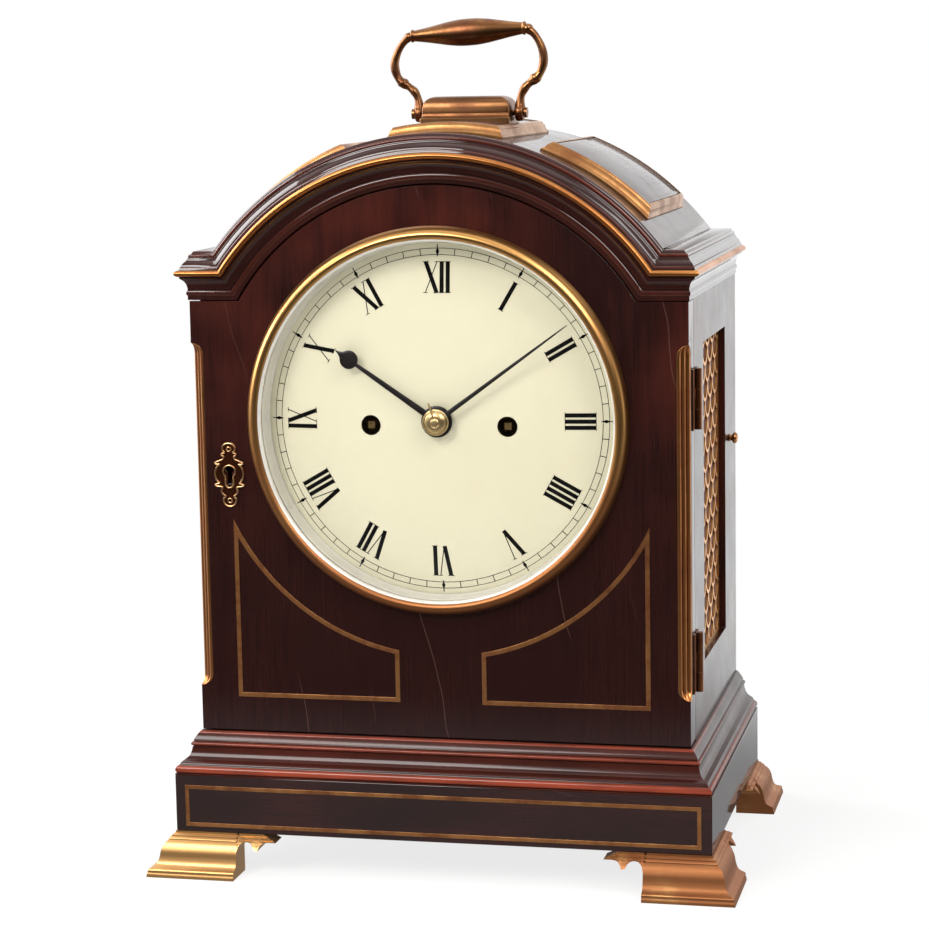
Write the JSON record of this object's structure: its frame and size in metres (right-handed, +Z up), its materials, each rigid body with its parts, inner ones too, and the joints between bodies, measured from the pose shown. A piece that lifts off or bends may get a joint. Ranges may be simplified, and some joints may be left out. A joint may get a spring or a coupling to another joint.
{
  "type": "table clock",
  "caption": "Arched mahogany table clock with brass carry handle, bracket feet, side frets, a round painted dial behind a hinged glazed door, and a fusee movement.",
  "frame": {"origin": "centre of the floor area that the feet cover, on the surface the clock stands on", "axes": "+X to the viewer's right, +Y from the front door towards the back, +Z up"},
  "size_m": [0.342, 0.2426, 0.4884],
  "materials": {
    "mahogany": "dark red-brown mahogany, French polished to a high gloss",
    "brass": "lacquered brass, softly polished",
    "dial_paint": "cream painted iron with black numerals",
    "glass": "clear polished glass",
    "steel": "polished steel",
    "blued_steel": "very dark blued steel",
    "silk": "red-brown woven silk",
    "bell_metal": "turned bell metal"
  },
  "bodies": {
    "case": {"plinth": "mahogany", "base_moulding": "mahogany", "plinth_stringing": "brass", "feet": "brass", "side_left": "mahogany", "side_right": "mahogany", "front_frame": "mahogany", "back_frame": "mahogany", "roof_shell": "mahogany", "cornice": "mahogany", "cornice_band": "brass", "roof_pads": "mahogany", "pad_mouldings": "brass", "handle_block": "brass", "handle_pins": "brass", "side_frets": "brass", "fret_silks": "silk", "lock_staple": "brass", "case_hinge_leaves": "brass", "hinge_pins": "brass", "dial": "dial_paint", "front_plate": "brass", "back_plate": "brass", "pillars": "brass", "seat_board": "mahogany", "barrel_arbors": "steel", "back_cock": "brass", "bell": "bell_metal"},
    "door": {"door_frame": "mahogany", "door_stringing": "brass", "corner_reeds": "brass", "bezel": "brass", "door_glass": "glass", "escutcheon": "brass", "door_lock": "brass", "door_hinge_leaves": "brass"},
    "lock_bolt": {"lock_bolt": "steel"},
    "rear_door": {"rear_door_frame": "mahogany", "rear_glass": "glass", "rear_door_leaves": "brass"},
    "rear_catch": {"rear_catch": "brass"},
    "handle": {"handle": "brass"},
    "repeat_knob": {"repeat_knob": "brass"},
    "minute": {"centre_wheel": "brass", "minute_hand": "blued_steel", "hand_collet": "brass"},
    "hour": {"hour_wheel": "brass", "hour_hand": "blued_steel"},
    "minute_wheel": {"minute_wheel": "brass"},
    "third_wheel": {"third_wheel": "brass"},
    "escape_wheel": {"escape_wheel": "brass"},
    "going_fusee": {"going_fusee": "brass"},
    "going_barrel": {"going_barrel": "brass"},
    "pin_wheel": {"pin_wheel": "brass"},
    "strike_fusee": {"strike_fusee": "brass"},
    "strike_barrel": {"strike_barrel": "brass"},
    "fly": {"fly": "brass"},
    "hammer": {"hammer": "steel"},
    "pendulum": {"pendulum": "brass"},
    "pallets": {"pallets": "steel"}
  },
  "joints": [
    {"name": "front_door_hinge", "type": "hinge", "parent": "case", "child": "door", "pos_m": [0.1454, -0.07495, 0.2], "axis": [0, 0, 1], "range_deg": [0, 110]},
    {"name": "lock_bolt_throw", "type": "slide", "parent": "door", "child": "lock_bolt", "axis": [-1, 0, 0], "range_m": [0, 0.005]},
    {"name": "rear_door_hinge", "type": "hinge", "parent": "case", "child": "rear_door", "pos_m": [0.104, 0.10915, 0.2], "axis": [0, 0, -1], "range_deg": [0, 110]},
    {"name": "rear_catch_turn", "type": "hinge", "parent": "rear_door", "child": "rear_catch", "pos_m": [-0.093, 0.10075, 0.264], "axis": [0, -1, 0], "range_deg": [0, 90]},
    {"name": "handle_swing", "type": "hinge", "parent": "case", "child": "handle", "pos_m": [0, 0.00575, 0.434], "axis": [1, 0, 0], "range_deg": [-80, 80]},
    {"name": "repeat_pull", "type": "slide", "parent": "case", "child": "repeat_knob", "axis": [1, 0, 0], "range_m": [0, 0.008], "stiffness_N_per_m": 150, "springref_m": -0.004},
    {"name": "minute_arbor", "type": "hinge", "parent": "case", "child": "minute", "pos_m": [0, -0.04325, 0.264], "axis": [0, 1, 0], "continuous": true},
    {"name": "hour_pipe", "type": "hinge", "parent": "case", "child": "hour", "pos_m": [0, -0.04325, 0.264], "axis": [0, 1, 0], "continuous": true},
    {"name": "minute_wheel_stud", "type": "hinge", "parent": "case", "child": "minute_wheel", "pos_m": [0.01131, -0.04325, 0.25269], "axis": [0, 1, 0], "continuous": true},
    {"name": "third_arbor", "type": "hinge", "parent": "case", "child": "third_wheel", "pos_m": [0.00978, -0.04325, 0.29087], "axis": [0, 1, 0], "continuous": true},
    {"name": "escape_arbor", "type": "hinge", "parent": "case", "child": "escape_wheel", "pos_m": [0, -0.04325, 0.31067], "axis": [0, 1, 0], "continuous": true},
    {"name": "going_fusee_arbor", "type": "hinge", "parent": "case", "child": "going_fusee", "pos_m": [0.0395, -0.04325, 0.261], "axis": [0, 1, 0], "continuous": true},
    {"name": "going_barrel_arbor", "type": "hinge", "parent": "case", "child": "going_barrel", "pos_m": [0.044, -0.04325, 0.213], "axis": [0, 1, 0], "continuous": true},
    {"name": "pin_wheel_arbor", "type": "hinge", "parent": "case", "child": "pin_wheel", "pos_m": [-0.04503, -0.04325, 0.29673], "axis": [0, 1, 0], "continuous": true},
    {"name": "strike_fusee_arbor", "type": "hinge", "parent": "case", "child": "strike_fusee", "pos_m": [-0.0395, -0.04325, 0.261], "axis": [0, 1, 0], "continuous": true},
    {"name": "strike_barrel_arbor", "type": "hinge", "parent": "case", "child": "strike_barrel", "pos_m": [-0.044, -0.04325, 0.213], "axis": [0, 1, 0], "continuous": true},
    {"name": "fly_arbor", "type": "hinge", "parent": "case", "child": "fly", "pos_m": [-0.03202, -0.04325, 0.30917], "axis": [0, 1, 0], "continuous": true},
    {"name": "hammer_arbor", "type": "hinge", "parent": "case", "child": "hammer", "pos_m": [-0.05603, -0.04325, 0.31403], "axis": [0, 1, 0], "range_deg": [-12, 0], "stiffness_Nm_per_rad": 0.05, "springref_deg": 20.05},
    {"name": "pendulum_swing", "type": "hinge", "parent": "case", "child": "pendulum", "pos_m": [0, 0.00075, 0.33167], "axis": [0, 1, 0], "range_deg": [-4, 4]},
    {"name": "pallet_arbor", "type": "hinge", "parent": "case", "child": "pallets", "pos_m": [0, -0.04325, 0.33167], "axis": [0, 1, 0], "range_deg": [-4, 4]}
  ],
  "couplings": [
    {"joint": "hour_pipe", "follows": "minute_arbor", "ratio": 0.083333},
    {"joint": "minute_wheel_stud", "follows": "minute_arbor", "ratio": -0.33333},
    {"joint": "third_arbor", "follows": "minute_arbor", "ratio": -12},
    {"joint": "escape_arbor", "follows": "minute_arbor", "ratio": 132},
    {"joint": "going_fusee_arbor", "follows": "minute_arbor", "ratio": -0.083333},
    {"joint": "going_barrel_arbor", "follows": "minute_arbor", "ratio": -0.043561},
    {"joint": "strike_fusee_arbor", "follows": "pin_wheel_arbor", "ratio": -0.095238},
    {"joint": "strike_barrel_arbor", "follows": "pin_wheel_arbor", "ratio": -0.049784},
    {"joint": "fly_arbor", "follows": "pin_wheel_arbor", "ratio": -8},
    {"joint": "pallet_arbor", "follows": "pendulum_swing", "ratio": 1}
  ]
}
